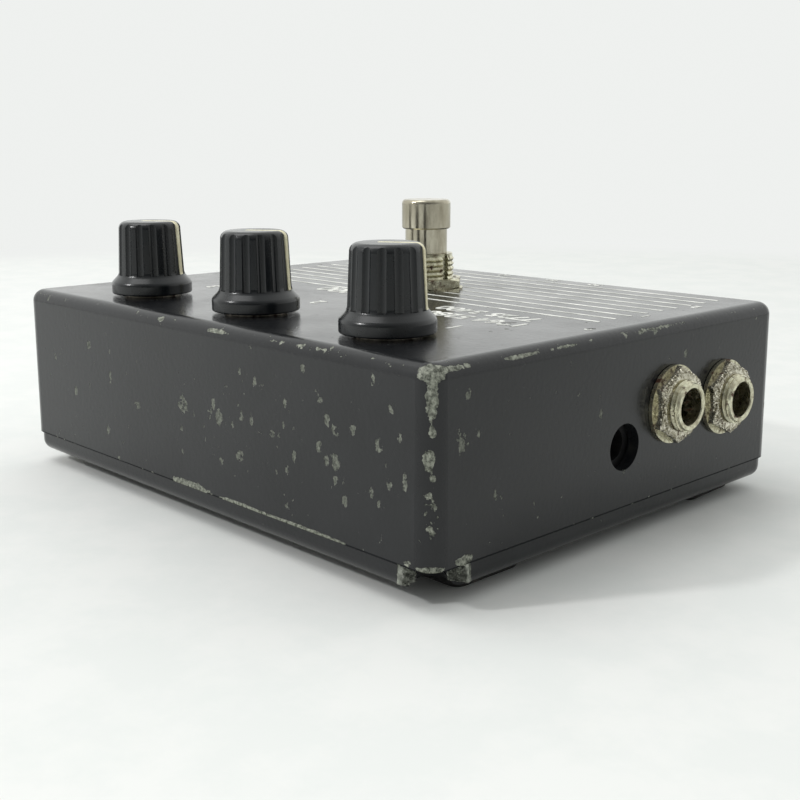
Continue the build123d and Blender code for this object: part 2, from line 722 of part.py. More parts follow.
# ---- battery ----------------------------------------------------------------------------
def make_battery():
    """Nine-volt block in a spring clip on the base, with a snap connector on its terminals."""
    can = Pos(battery_x, battery_y) * block(battery_width, battery_length, battery_height, battery_low)
    can = fillet(can.edges().filter_by(Axis.Y), battery_edge_radius)
    save(can, "battery")

    outer = battery_width + 2 * (clip_fit + clip_thickness)
    clip = block(outer, clip_width, clip_height, parting)
    clip -= block(outer - 2 * clip_thickness, clip_width, clip_height, battery_low)
    save(Pos(battery_x, battery_y - clip_offset) * clip, "battery_clip")

    facing = Pos(battery_x, battery_end, battery_low + battery_height / 2) * Rot(-90, 0, 0)
    stud = Pos(-stud_spacing / 2, 0) * disc(stud_radius, stud_height)
    socket = Pos(stud_spacing / 2, 0) * ring(ring_radius, ring_radius - ring_wall, stud_height)
    save(Compound([facing * stud, facing * socket]), "battery_terminals")
    snap = block(snap_length, snap_width, snap_thickness, stud_height + snap_gap)
    snap = fillet(snap.edges().filter_by(Axis.Z), snap_corner_radius)
    save(facing * snap, "battery_snap")


# ---- wires --------------------------------------------------------------------------------
def wire(*points):
    """Round wire along straight runs that are joined by arcs as large as the runs allow."""
    radii = []
    for first, corner, last in zip(points, points[1:], points[2:]):
        before = Vector(*corner) - Vector(*first)
        after = Vector(*last) - Vector(*corner)
        half_turn = math.radians(before.get_angle(after) / 2)
        radii.append(arc_share * min(before.length, after.length) / math.tan(half_turn))
    path = FilletPolyline(*points, radius=radii) if radii else Polyline(*points)
    section = Plane(origin=path @ 0, z_dir=path % 0) * Circle(wire_radius)
    return sweep(section, path=path)


def pot_wires():
    """From each potentiometer's lugs down to the board, those past its end in nested steps."""
    lug_y = board_y - board_width / 2 + wire_edge + 2 * wire_radius
    lug_low = wafer_low - pot_lug_thickness
    wires = []
    for x in knob_xs:
        for n in (-1, 0, 1):
            lug_x = x + n * pot_lug_pitch
            if lug_x > board_start:
                wires.append(wire((lug_x, lug_y, lug_low), (lug_x, lug_y, board_top)))
                continue
            level = lug_low - wire_spacing * (2 - n)
            across = board_start + wire_edge + wire_spacing * (n + 1)
            corners_passed = [(lug_x, lug_y, lug_low), (lug_x, lug_y, level), (across, lug_y, level)]
            wires.append(wire(*corners_passed, (across, lug_y, board_top)))
    return wires


def jack_wires():
    """From each jack's tip lug to a lug of the foot switch."""
    wires = []
    low = switch_lug_low - wire_drop
    for n, name in enumerate(jack_ys):
        tail_low = jack_plate_low - jack_arm_length - jack_lug_length
        x, y, z = (jack_place(name) * Pos(jack_leaf_offset, 0, tail_low)).position
        lug_x = switch_x + switch_lug_pitch
        lug_y = switch_y + n * switch_lug_pitch
        side = lug_y + n * wire_drop
        wires.append(wire(
            (x, y, z), ((x + lug_x) / 2, y, z - wire_drop / 2), (lug_x + wire_drop * (1 - n), side, low),
            (lug_x, lug_y, low), (lug_x, lug_y, switch_lug_low),
        ))
    return wires


def board_wires():
    """From the foot switch's and the power socket's lugs up to the board."""
    wires = []
    edge_y = board_y + board_width / 2 - wire_edge
    low = switch_lug_low - wire_drop
    for n in (-1, 1):
        x = switch_x + n * switch_lug_pitch
        y = switch_y - switch_lug_pitch
        wires.append(wire((x, y, switch_lug_low), (x, y, low), (x, edge_y, low), (x, edge_y, board_low)))
    back = socket_place(power_y, power_height).position
    depth = power_lug_length - power_back
    end_x = board_end - standoff_inset_x - board_screw_head_radius - 2 * wire_radius
    for n in (-1, 0):
        y = power_y + n * power_lug_pitch
        wires.append(wire((back.X - depth, y, back.Z), (end_x, y, back.Z), (end_x, y, board_low)))
    return wires


def battery_wires():
    """Two leads from the snap round the end of the battery to the board."""
    leads = []
    snap_end = battery_x + snap_length / 2
    snap_y = battery_end + stud_height + snap_gap + snap_thickness / 2
    edge_y = board_y + board_width / 2 - 2 * wire_edge
    for n in (0, 1):
        z = battery_low + battery_height / 2 + n * wire_spacing
        x = board_start + wire_edge + n * (wire_spacing + wire_radius)
        leads.append(wire(
            (snap_end, snap_y, z), (x, snap_y, z), (x + wire_edge, switch_y, z), (x, edge_y, z),
            (x, edge_y, board_low),
        ))
    return leads


def make_case():
    """Shell, base, its screws and the four feet."""
    save(make_shell(), "enclosure_shell")
    save(make_base(), "base_plate")
    save(make_base_screws(), "base_screws")
    sides = ((1, -1), (1, 1), (-1, -1), (-1, 1))
    for (name, turn), (sx, sy) in zip(foot_turns.items(), sides):
        save(make_foot(sx, sy, turn), name)


def make_jacks():
    """Both jack sockets."""
    for name in jack_ys:
        make_jack_bush(name)
        make_jack_nut(name)
        make_jack_frame(name)
        make_jack_spring(name)
    make_jack_washers()
    make_jack_wafers()


def make_wires():
    """Hook-up wires and battery leads."""
    save(Compound(pot_wires() + jack_wires() + board_wires()), "hookup_wires")
    save(Compound(battery_wires()), "battery_leads")


make_case()
make_knobs()
make_potentiometers()
make_foot_switch()
make_jacks()
make_power_socket()
make_board()
make_battery()
make_wires()
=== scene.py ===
"""A foot pedal with three knobs, a foot switch and two jack sockets, dressed for show round its CAD frame.

The CAD nodes keep their own meshes and get finishes. What a casting or a lathe can't give them is added
here: printed rules and plain numbers, rolled threads, chewed nuts, the torn face of the broken corner and a
coil spring.
Lengths are in metres, and in millimetres where a name says so.
"""

import json
import math

import bmesh
import bpy
import numpy as np
from mathutils import Matrix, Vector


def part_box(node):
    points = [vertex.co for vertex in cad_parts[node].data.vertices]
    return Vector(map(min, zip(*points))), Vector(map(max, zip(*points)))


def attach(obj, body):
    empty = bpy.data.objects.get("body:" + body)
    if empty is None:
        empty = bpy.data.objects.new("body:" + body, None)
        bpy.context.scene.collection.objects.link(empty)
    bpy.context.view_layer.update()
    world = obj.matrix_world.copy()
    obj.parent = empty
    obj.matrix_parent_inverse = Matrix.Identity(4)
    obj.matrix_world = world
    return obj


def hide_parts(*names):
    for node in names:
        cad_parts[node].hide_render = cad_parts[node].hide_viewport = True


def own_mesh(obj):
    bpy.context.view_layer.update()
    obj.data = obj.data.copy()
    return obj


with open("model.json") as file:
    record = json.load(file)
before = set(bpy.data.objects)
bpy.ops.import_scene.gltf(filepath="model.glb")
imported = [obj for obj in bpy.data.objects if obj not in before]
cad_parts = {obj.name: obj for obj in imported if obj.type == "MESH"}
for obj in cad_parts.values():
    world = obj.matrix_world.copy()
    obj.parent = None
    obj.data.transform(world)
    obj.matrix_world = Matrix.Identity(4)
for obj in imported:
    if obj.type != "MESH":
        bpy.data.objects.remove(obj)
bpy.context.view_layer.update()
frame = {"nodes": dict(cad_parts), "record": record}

bl_info = {
    "name": "Foot pedal dressing",
    "version": (1, 0, 0),
    "blender": (4, 5, 0),
    "location": "3D Viewport > Sidebar > Pedal",
    "description": "Dresses the packed foot pedal: paint, print, threads, nuts, break and studio",
    "category": "Object",
}

MM = 0.001
SHELL_LOW, SHELL_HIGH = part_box("enclosure_shell")
# middle of the case in the frame: the sockets stand out on one side, so it isn't the origin
CASE_X = (SHELL_LOW.x + SHELL_HIGH.x) / 2
TOP = SHELL_HIGH.z
PARTING = SHELL_LOW.z
HALF_X = (SHELL_HIGH.x - SHELL_LOW.x) / 2
HALF_Y = SHELL_HIGH.y
DRAFT = math.tan(math.radians(0.6))  # the shell's sides lean in by this much of the height
BASE_LOW_MM = 2.5  # underside of the base plate

WALL = "fafcfa"  # colour of the wall behind
WALL_SEEN = 0.9  # brightness of that wall to the camera
WALL_WAY = (-0.7236, 0.6902, 0)  # level direction from the pedal to it


def middle(node):
    """Middle of a CAD node's box."""
    low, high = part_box(node)
    return (np.array(low) + np.array(high)) / 2


JACKS = {name: middle(f"jack_bush_{name}") for name in ("input", "output")}


# ---- colours and nodes --------------------------------------------------------------------------------
def linear(code):
    """Linear red, green, blue and alpha of an sRGB hex colour."""
    parts = [int(code[n:n + 2], 16) / 255 for n in (0, 2, 4)]
    return tuple(p / 12.92 if p <= 0.04045 else ((p + 0.055) / 1.055) ** 2.4 for p in parts) + (1.0,)


def opaque(colour):
    """Linear red, green, blue and alpha of a colour that the panel holds."""
    return tuple(colour) + (1.0,)


def put(tree, kind, inputs=None, out=0, **settings):
    """Adds a shader node with its settings. Each input is a value, or another node's output to link."""
    made = tree.nodes.new("ShaderNode" + kind)
    for name, value in settings.items():
        setattr(made, name, value)
    for key, value in (inputs or {}).items():
        if isinstance(value, bpy.types.NodeSocket):
            tree.links.new(value, made.inputs[key])
        else:
            made.inputs[key].default_value = value
    return made.outputs[out]


def blank(name, **values):
    """New material with only its shader, and Object coordinates in millimetres."""
    material = bpy.data.materials.new(name)
    material.use_nodes = True
    tree = material.node_tree
    tree.nodes.clear()
    surface = put(tree, "BsdfPrincipled", {key.replace("_", " "): value for key, value in values.items()})
    out = tree.nodes.new("ShaderNodeOutputMaterial")
    tree.links.new(surface, out.inputs["Surface"])
    place = put(tree, "TexCoord", out=3)
    place = put(tree, "VectorMath", {0: place, "Scale": 1 / MM}, operation="SCALE")
    return material, tree, surface.node, place


def calc(tree, operation, *values):
    """Result of a Math node."""
    return put(tree, "Math", dict(enumerate(values)), operation=operation)


def ramp(tree, value, start, stop, low=0.0, high=1.0, shape="LINEAR"):
    """Value mapped from start..stop to low..high, and held beyond them."""
    ends = {"From Min": start, "From Max": stop, "To Min": low, "To Max": high}
    return put(tree, "MapRange", {"Value": value, **ends}, interpolation_type=shape)


def mix(tree, share, first, second):
    """Colour on the way from the first to the second."""
    return put(tree, "Mix", {0: share, 6: first, 7: second}, 2, data_type="RGBA")


def noise(tree, place, size, detail, roughness=0.5, distortion=0.0, out=0):
    """Noise with lumps about size mm across."""
    settings = {"Detail": detail, "Roughness": roughness, "Distortion": distortion}
    return put(tree, "TexNoise", {"Vector": place, "Scale": 1 / size, **settings}, out)


def link(tree, shader, **sources):
    """Links outputs to the shader's sockets of those names."""
    for name, source in sources.items():
        tree.links.new(source, shader.inputs[name.replace("_", " ")])


def finish(name, light, dark, roughness, grain, relief, metallic=0.0, stretch=(1, 1, 1), stain=None,
           stain_share=0.3, stain_size=3.0, stain_roughness=0.75):
    """Finish whose colour and roughness drift with one noise of grain mm, with relief mm of bump, and
    which patches of stain mm across may cover, dull and unmetallic."""
    material, tree, shader, place = blank(name, Metallic=metallic)
    laid = put(tree, "VectorMath", {0: place, 1: stretch}, operation="MULTIPLY")
    grained = noise(tree, laid, grain, detail=5.0, roughness=0.6)
    spread = ramp(tree, grained, 0.33, 0.67)
    colour = mix(tree, spread, dark, light)
    rough = ramp(tree, spread, 0.0, 1.0, low=roughness[1], high=roughness[0])
    height = grained
    if stain:
        blot = noise(tree, place, stain_size, detail=7.0, roughness=0.68, distortion=0.4)
        stain_lift, metal_left = 0.6, 0.1
        edge = 0.5 + (0.5 - stain_share) * 0.5
        cover = ramp(tree, blot, edge - 0.03, edge + 0.05)
        colour = mix(tree, cover, colour, stain)
        rough = put(tree, "Mix", {0: cover, 2: rough, 3: stain_roughness})
        height = calc(tree, "MULTIPLY_ADD", cover, stain_lift, grained)
        if metallic:
            link(tree, shader, Metallic=ramp(tree, cover, 0.0, 1.0, low=metallic, high=metal_left))
    bump = put(tree, "Bump", {"Height": height, "Distance": relief * MM, "Strength": 1.0})
    link(tree, shader, Base_Color=colour, Roughness=rough, Normal=bump)
    return material


# Where the paint has gone: middle and reach in mm, as (along from the case's middle, across, up), how far
# knocks have bared it, and how thick the small flecks lie
WORN = [
    ((58.9, -45.9, 35.6), (3.2, 3.2, 2.0), 0.62, 0.5),  # near top corner
    ((59.0, -46.0, 31.9), (1.5, 1.5, 4.4), 0.52, 0.5),  # and the edge under it
    ((59.1, -46.0, 27.2), (1.1, 1.1, 1.8), 0.42, 0.5),
    ((58.6, -46.2, 23.0), (1.4, 1.4, 2.1), 0.44, 0.5),
    ((59.2, -46.0, 20.6), (1.0, 1.0, 1.3), 0.42, 0.5),
    ((58.9, -46.2, 15.5), (1.8, 1.8, 6.5), 0.18, 0.8),
    ((58.9, -46.1, 6.9), (3.4, 3.4, 0.6), 0.40, 0.3),
    ((54.3, -46.7, 19.3), (0.8, 1.0, 2.3), 0.26, 0.1),
    ((59.7, -40.5, 25.0), (1.0, 2.2, 2.4), 0.20, 0.4),
    ((59.7, -39.2, 31.9), (1.0, 0.9, 1.4), 0.30, 0.1),
    ((39.3, -46.7, 19.3), (1.5, 1.0, 1.7), 0.30, 0.1),  # knocks on the knob side
    ((14.5, -46.7, 15.2), (1.3, 1.0, 1.6), 0.30, 0.1),
    ((8.8, -46.7, 20.9), (1.4, 1.0, 2.5), 0.28, 0.2),
    ((5.8, -46.7, 21.0), (0.9, 1.0, 1.3), 0.26, 0.0),
    ((-2.2, -46.7, 21.4), (2.4, 1.0, 2.5), 0.22, 0.3),
    ((39.2, -46.7, 24.0), (1.6, 1.0, 1.3), 0.22, 0.1),
    ((31.6, -46.7, 32.5), (0.9, 1.0, 1.2), 0.27, 0.0),
    ((35.7, -46.7, 28.1), (1.0, 1.0, 0.9), 0.26, 0.0),
    ((47.5, -46.7, 33.0), (0.7, 1.0, 1.4), 0.26, 0.0),
    ((48.9, -46.7, 23.6), (1.3, 1.0, 1.4), 0.22, 0.1),
    ((-17.7, -46.7, 18.7), (1.6, 1.0, 1.3), 0.24, 0.0),
    ((18.0, -46.7, 22.0), (0.7, 1.0, 1.8), 0.24, 0.0),
    ((23.5, -46.7, 20.8), (1.0, 1.0, 1.0), 0.24, 0.0),
    ((26.0, -46.7, 20.0), (40.0, 2.0, 14.0), 0.0, 0.85),  # flecks all over it
    ((-35.0, -46.7, 20.0), (28.0, 2.0, 13.0), 0.0, 0.45),
    ((59.8, -36.0, 22.0), (2.0, 10.0, 14.0), 0.0, 0.45),
    ((59.8, 0.0, 28.0), (2.0, 30.0, 8.0), 0.0, 0.16),
    ((-0.5, -46.8, 6.9), (7.6, 1.2, 1.0), 0.52, 0.0),  # dragged along the ground
    ((14.5, -46.8, 6.75), (8.5, 1.0, 0.5), 0.40, 0.0),
    ((30.0, -46.8, 6.7), (14.0, 1.0, 0.5), 0.36, 0.1),
    ((59.6, -42.0, 35.9), (1.4, 6.2, 0.8), 0.34, 0.4),  # along the top of the socket side
    ((59.6, -27.5, 35.7), (1.2, 7.0, 0.55), 0.36, 0.3),
    ((59.6, -17.0, 35.8), (1.2, 5.0, 0.5), 0.32, 0.2),
    ((59.6, 8.0, 36.0), (1.3, 14.0, 0.8), 0.24, 0.4),
    ((8.0, -46.5, 35.6), (5.0, 1.2, 0.55), 0.32, 0.1),  # along the top of the knob side
    ((-9.0, -46.4, 35.9), (1.6, 1.0, 0.8), 0.30, 0.0),
    ((32.0, -46.4, 35.8), (14.0, 1.2, 0.6), 0.14, 0.3),
    ((59.6, -0.9, 12.7), (1.0, 0.9, 0.5), 0.24, 0.0),  # under the power hole
    ((59.5, -40.0, 7.3), (1.4, 2.4, 1.0), 0.46, 0.0),  # beside the broken corner
    ((55.0, -46.8, 7.2), (1.4, 1.4, 0.7), 0.30, 0.0),
    ((-59.5, 30.0, 34.0), (2.0, 9.0, 3.0), 0.20, 0.3),  # far corners
    ((-59.5, -46.5, 36.0), (3.0, 3.0, 2.5), 0.30, 0.3),
    ((-59.5, 46.5, 35.5), (4.0, 3.0, 4.0), 0.32, 0.3),
    ((59.5, 46.5, 36.0), (3.0, 3.0, 3.0), 0.24, 0.3),
    ((-20.0, 46.7, 7.0), (22.0, 1.5, 0.8), 0.22, 0.1),
    ((0.0, 46.7, 20.0), (50.0, 2.0, 15.0), 0.0, 0.20),
    ((-59.7, 0.0, 20.0), (2.0, 42.0, 14.0), 0.0, 0.20),
]
# The stumps of the broken corner, laid out alike; the broken face between them keeps the paint as painted
# shade
TORN = [
    ((53.7, -46.3, 4.6), (1.6, 3.0, 3.4), 0.6, 0.0),
    ((59.2, -39.7, 5.0), (3.2, 2.0, 3.4), 0.75, 0.0),
]


def edge_distance(tree, along, across, height, low):
    """Distance in mm to the nearest edge of the case: the second smallest of the distances to its faces, or
    the height over low and a little more, where that is less."""
    along = calc(tree, "ADD", along, -CASE_X / MM)
    walls = []
    for axis, half in ((along, HALF_X), (across, HALF_Y)):
        wall = calc(tree, "MULTIPLY_ADD", height, -DRAFT, half / MM + DRAFT * PARTING / MM)
        walls.append(calc(tree, "SUBTRACT", wall, calc(tree, "ABSOLUTE", axis)))
    from_top = calc(tree, "SUBTRACT", TOP / MM, height)
    near = calc(tree, "MINIMUM", *walls)
    far = calc(tree, "MINIMUM", calc(tree, "MAXIMUM", *walls), from_top)
    margin = 0.7  # mm by which the lower rim counts as farther off
    foot = calc(tree, "ADD", calc(tree, "SUBTRACT", height, low), margin)
    return calc(tree, "MINIMUM", calc(tree, "MAXIMUM", near, far), foot)


def wear(tree, place, edge, knocks):
    """How far knocks have bared the paint, and how thick flecks lie. Each is what edges get, less the farther
    in, plus its share of every listed knock, which is full in the middle and gone at its reach."""
    knocked = ramp(tree, edge, 0.3, 1.6, low=0.09, high=0.0, shape="SMOOTHERSTEP")
    flecked = ramp(tree, edge, 0.3, 2.5, low=0.2, high=0.02, shape="SMOOTHERSTEP")
    for (along, across, up), reach, bared, flecks in knocks:
        away = put(tree, "VectorMath", {0: place, 1: (along + CASE_X / MM, across, up)}, operation="SUBTRACT")
        away = put(tree, "VectorMath", {0: away, 1: reach}, operation="DIVIDE")
        away = put(tree, "VectorMath", {0: away}, 1, operation="LENGTH")
        here = ramp(tree, away, 0.45, 1.0, low=1.0, high=0.0, shape="SMOOTHSTEP")
        if bared:
            knocked = calc(tree, "MULTIPLY_ADD", here, bared, knocked)
        if flecks:
            flecked = calc(tree, "MULTIPLY_ADD", here, flecks, flecked)
    return knocked, flecked


def chipped(tree, place, knocked, flecked):
    """Where the paint is gone: where a ragged noise and the knocks add up past a level, and in flecks. A
    fleck is the middle of one cell in so many. It is taller than wide, and its outline is pushed about by a
    fine noise."""
    ragged = noise(tree, place, size=1.25, detail=4.0, roughness=0.62, distortion=0.3)
    bare = ramp(tree, calc(tree, "ADD", ragged, knocked), 0.70, 0.725)
    push = noise(tree, place, size=0.7, detail=3.0, out=1)
    laid = put(tree, "VectorMath", {0: push, 1: (1.3, 1.3, 1.3), 2: place}, operation="MULTIPLY_ADD")
    laid = put(tree, "VectorMath", {0: laid, 1: (1.0, 1.0, 0.62)}, operation="MULTIPLY")
    cell_size, fleck_radius = 2.0, 0.34  # mm, and the greatest in parts of a cell
    cells = put(tree, "TexVoronoi", {"Vector": laid, "Scale": 1 / cell_size}).node
    luck = put(tree, "SeparateColor", {0: cells.outputs["Color"]})
    unlucky = calc(tree, "SUBTRACT", 1.0, flecked)
    radius = ramp(tree, luck, unlucky, 1.0, high=fleck_radius)
    inside = calc(tree, "SUBTRACT", radius, cells.outputs["Distance"])
    return calc(tree, "MAXIMUM", bare, ramp(tree, inside, 0.0, 0.04))


def worn_paint(name, colours, low, knocks):
    """Satin black enamel sprayed on a die-cast aluminium box and stoved.

    The eye gets a dark film with a soft sheen and a faint orange peel, a dark seam between the shell and the
    base, where the paint reflects almost nothing, and chips with ragged edges where the dull casting shows.
    They are thickest on edges and where knocks are listed.
    """
    material, tree, shader, place = blank(name, IOR=1.42)
    along, across, height = put(tree, "SeparateXYZ", {0: place}).node.outputs
    edge = edge_distance(tree, along, across, height, low)
    chip = chipped(tree, place, *wear(tree, place, edge, knocks))

    drift = noise(tree, place, size=14.0, detail=5.0, roughness=0.6)
    rubbed = ramp(tree, drift, 0.35, 0.68)
    paint = mix(tree, rubbed, opaque(colours.paint), opaque(colours.paint_rubbed))
    pitted = noise(tree, place, size=0.6, detail=5.0, roughness=0.72)
    pitted = ramp(tree, pitted, 0.38, 0.62)
    metal = mix(tree, pitted, linear("34372f"), opaque(colours.casting))
    # primer still dulls the metal away from the edges
    primed = ramp(tree, edge, 1.0, 4.0, high=0.55)
    metal = mix(tree, primed, metal, linear("4a4d47"))
    colour = mix(tree, chip, paint, metal)
    rough = ramp(tree, drift, 0.3, 0.7, low=0.15, high=0.26)
    bare_roughness, bare_metallic, chip_depth = 0.6, 0.3, -2.2
    rough = put(tree, "Mix", {0: chip, 2: rough, 3: bare_roughness})
    # the seam between the shell and the base reflects almost nothing, so it reads as a dark line
    seam = calc(tree, "ABSOLUTE", calc(tree, "ADD", height, -PARTING / MM))
    seam = ramp(tree, seam, 0.12, 0.3, low=0.03, high=0.5)
    peel = noise(tree, place, size=0.8, detail=3.0)
    thick = calc(tree, "MULTIPLY_ADD", chip, chip_depth, peel)
    bump = put(tree, "Bump", {"Height": thick, "Distance": 0.03 * MM, "Strength": 1.0})
    bare_metal = calc(tree, "MULTIPLY", chip, bare_metallic)
    link(tree, shader, Base_Color=colour, Roughness=rough, Metallic=bare_metal, Normal=bump,
         Specular_IOR_Level=seam)
    return material


def screen_ink(name, colours):
    """Two-part white ink screened through a mesh onto the stoved paint.

    The eye gets a thin, slightly creamy white with a dull surface, rubbed through to the black in small
    specks.
    """
    material, tree, shader, place = blank(name, Roughness=0.5)
    mesh = noise(tree, place, size=0.35, detail=6.0, roughness=0.7)
    rubbed = ramp(tree, mesh, 0.64, 0.68)
    cloud = noise(tree, place, size=6.0, detail=3.0)
    cloud = ramp(tree, cloud, 0.35, 0.65)
    white = mix(tree, cloud, opaque(colours.print_ink), linear("b9bab4"))
    colour = mix(tree, rubbed, white, opaque(colours.paint))
    bump = put(tree, "Bump", {"Height": mesh, "Distance": 0.01 * MM})
    link(tree, shader, Base_Color=colour, Normal=bump)
    return material


def torn_casting(name):
    """Aluminium casting alloy, torn.

    The eye gets a pale grey-green granular face with darker pores and grains that differ in sheen.
    """
    material, tree, shader, place = blank(name, Metallic=0.35)
    grain_size = 0.45  # mm
    grain = put(tree, "TexVoronoi", {"Vector": place, "Scale": 1 / grain_size, "Randomness": 1.0}, 1)
    grain = put(tree, "SeparateColor", {0: grain}).node.outputs
    pores = noise(tree, place, size=1.3, detail=6.0, roughness=0.65)
    face = mix(tree, grain[0], linear("8f9289"), linear("b5b8ad"))
    colour = mix(tree, ramp(tree, pores, 0.4, 0.62), linear("62645d"), face)
    rough = ramp(tree, grain[1], 0.0, 1.0, low=0.45, high=0.8)
    height = calc(tree, "ADD", grain[2], pores)
    bump = put(tree, "Bump", {"Height": height, "Distance": 0.16 * MM})
    link(tree, shader, Base_Color=colour, Roughness=rough, Normal=bump)
    return material


def make_finishes(colours):
    """One material for each slot of the record, keyed by the slot's name, and those of the added pieces."""
    nickel, rust = opaque(colours.nickel), opaque(colours.rust)
    return {
        # sprayed and stoved over the casting
        "case_paint": worn_paint("satin black enamel on a die-cast shell", colours, PARTING / MM, WORN),
        # on the base, the broken face between the two stumps keeps this black paint: painted shade for the
        # hollow behind it
        "base_paint_and_break_shade": worn_paint("satin black enamel on a die-cast base", colours, BASE_LOW_MM, TORN),
        # black rubber, moulded matt, grey with floor dust
        "foot_rubber": finish(
            "moulded rubber with floor dust", linear("2b2a29"), linear("171716"),
            roughness=(0.75, 0.9), grain=0.9, relief=0.05, stain=linear("5c5954"), stain_share=0.25),
        # ABS from a polished mould: a cold blue black with a soft highlight and a few dull spots
        "knob_plastic": finish(
            "moulded ABS of a control knob", opaque(colours.knob), linear("0e1113"),
            roughness=(0.2, 0.3), grain=7.0, relief=0.004, stain=linear("2b2e30"), stain_share=0.10,
            stain_size=1.0, stain_roughness=0.5),
        # paint wiped into a moulded groove: matt cream, dirty in its lows
        "pointer_filling": finish(
            "cream filling paint", opaque(colours.pointer), linear("ded6b0"),
            roughness=(0.5, 0.6), grain=1.6, relief=0.01),
        # nickel on brass, gone dull and warm, rust creeping in from the steel beside it
        "nickel": finish(
            "tarnished nickel plate", nickel, linear("a39c84"),
            roughness=(0.2, 0.4), grain=0.9, relief=0.012, metallic=1.0, stain=rust, stain_share=0.34,
            stain_size=1.9),
        # the same plate where a spanner has bitten it: bright facets beside dark ones
        "chewed_nickel": finish(
            "nickel plate bitten by a spanner", linear("e6e2d2"), linear("8b8570"),
            roughness=(0.16, 0.34), grain=0.5, relief=0.03, metallic=1.0, stain=rust, stain_share=0.3,
            stain_size=1.1),
        # polished nickel, with light and dark upright streaks painted into its colour as reflection bands
        "cap_nickel": finish(
            "polished nickel plate with painted reflection streaks", linear("bfbaa9"), linear("98917f"),
            roughness=(0.16, 0.26), grain=2.4, relief=0.004, metallic=1.0, stretch=(1, 1, 0.25)),
        # zinc plate over steel, dull grey, rusting where the plate has gone
        "plated_steel": finish(
            "dull zinc plate on steel", linear("b0aa9e"), linear("7d776c"),
            roughness=(0.35, 0.55), grain=0.8, relief=0.015, metallic=1.0, stain=rust, stain_share=0.36,
            stain_size=1.6),
        # the same on screws, with smaller spots of rust
        "screw_steel": finish(
            "zinc plate on a steel screw", linear("9c9a94"), linear("6d6a63"),
            roughness=(0.35, 0.5), grain=0.7, relief=0.01, metallic=1.0, stain=rust, stain_share=0.22,
            stain_size=1.0),
        # hard-drawn wire: dark grey with a fine, even sheen
        "spring_steel": finish(
            "drawn spring steel", linear("8f8e8b"), linear("5d5c5a"),
            roughness=(0.3, 0.4), grain=0.5, relief=0.004, metallic=1.0),
        # turned brass, bright with fine rings
        "shaft_brass": finish(
            "turned brass", linear("c9a45c"), linear("a07f41"),
            roughness=(0.25, 0.4), grain=0.3, relief=0.004, metallic=1.0, stretch=(1, 1, 6)),
        # hot-dipped tin: pale and softly cloudy
        "tinned_brass": finish(
            "tinned brass", linear("b9b6ab"), linear("948f7f"),
            roughness=(0.3, 0.5), grain=0.8, relief=0.01, metallic=1.0),
        # paper and resin, pressed: brown with a fibre's mottle
        "phenolic": finish(
            "pressed paper phenolic", linear("6a4426"), linear("4c2f1a"),
            roughness=(0.4, 0.55), grain=0.8, relief=0.01, stretch=(1, 3, 1)),
        # resin moulding: deep blue, satin and slightly clouded
        "switch_moulding": finish(
            "moulded phenolic of a switch body", linear("2a3a5c"), linear("1d2942"),
            roughness=(0.35, 0.5), grain=2.0, relief=0.01),
        # black nylon, browned here and there by flux
        "black_moulding": finish(
            "moulded black nylon", linear("1f1f20"), linear("131314"),
            roughness=(0.4, 0.55), grain=1.5, relief=0.02, stain=linear("4a4038"), stain_share=0.2),
        # acetal: waxy off-white
        "wiper_moulding": finish(
            "moulded acetal of a wiper", linear("d8d2c0"), linear("b9b19c"),
            roughness=(0.4, 0.5), grain=1.0, relief=0.01),
        # woven glass and resin under green lacquer, the weave just felt
        "board_laminate": finish(
            "glass laminate under green lacquer", linear("2f5a3a"), linear("1f4229"),
            roughness=(0.25, 0.4), grain=0.5, relief=0.01, stretch=(1, 4, 1)),
        # undyed nylon: milky, yellowed unevenly
        "nylon": finish(
            "natural nylon", linear("cfc9b6"), linear("b2ab96"),
            roughness=(0.45, 0.6), grain=1.0, relief=0.01),
        # sleeve shrunk tight: dark blue with a soft gloss
        "capacitor_sleeve": finish(
            "shrunk sleeve of a capacitor", linear("2c3c63"), linear("1b2745"),
            roughness=(0.3, 0.4), grain=1.0, relief=0.006),
        # moulded box filled with epoxy: brick red, satin
        "film_box": finish(
            "epoxy-filled film capacitor box", linear("8f3a22"), linear("722b17"),
            roughness=(0.35, 0.5), grain=1.2, relief=0.01),
        # dipped lacquer: tan, lumpy and a little glossy
        "resistor_lacquer": finish(
            "dipped resistor lacquer", linear("c7a678"), linear("a88556"),
            roughness=(0.3, 0.45), grain=0.6, relief=0.02),
        # lacquer over a steel jacket: near black with a metal's depth
        "battery_jacket": finish(
            "lacquered steel battery jacket", linear("3b3b3d"), linear("27272a"),
            roughness=(0.25, 0.4), grain=4.0, relief=0.004, metallic=0.4),
        # vinyl, extruded: dull red
        "wire_sleeve": finish(
            "extruded vinyl wire sleeve", linear("7a2320"), linear("5d1715"),
            roughness=(0.35, 0.5), grain=1.5, relief=0.01),
        # vinyl, extruded: black, lightly scuffed
        "lead_sleeve": finish(
            "extruded black vinyl lead", linear("242424"), linear("161616"),
            roughness=(0.35, 0.5), grain=1.5, relief=0.01),
        "print_ink": screen_ink("screened white ink", colours),
        "torn_casting": torn_casting("torn aluminium casting"),
    }


FINISHES = {}


def dress(*nodes, finish_name=None):
    """Gives CAD nodes the finish of their own slot, or a named one."""
    slots = {part["node"]: part["material_slot"] for part in frame["record"]["subparts"]}
    for node in nodes:
        made = frame["nodes"][node]
        made.data.materials.clear()
        made.data.materials.append(FINISHES[finish_name or slots[node]])


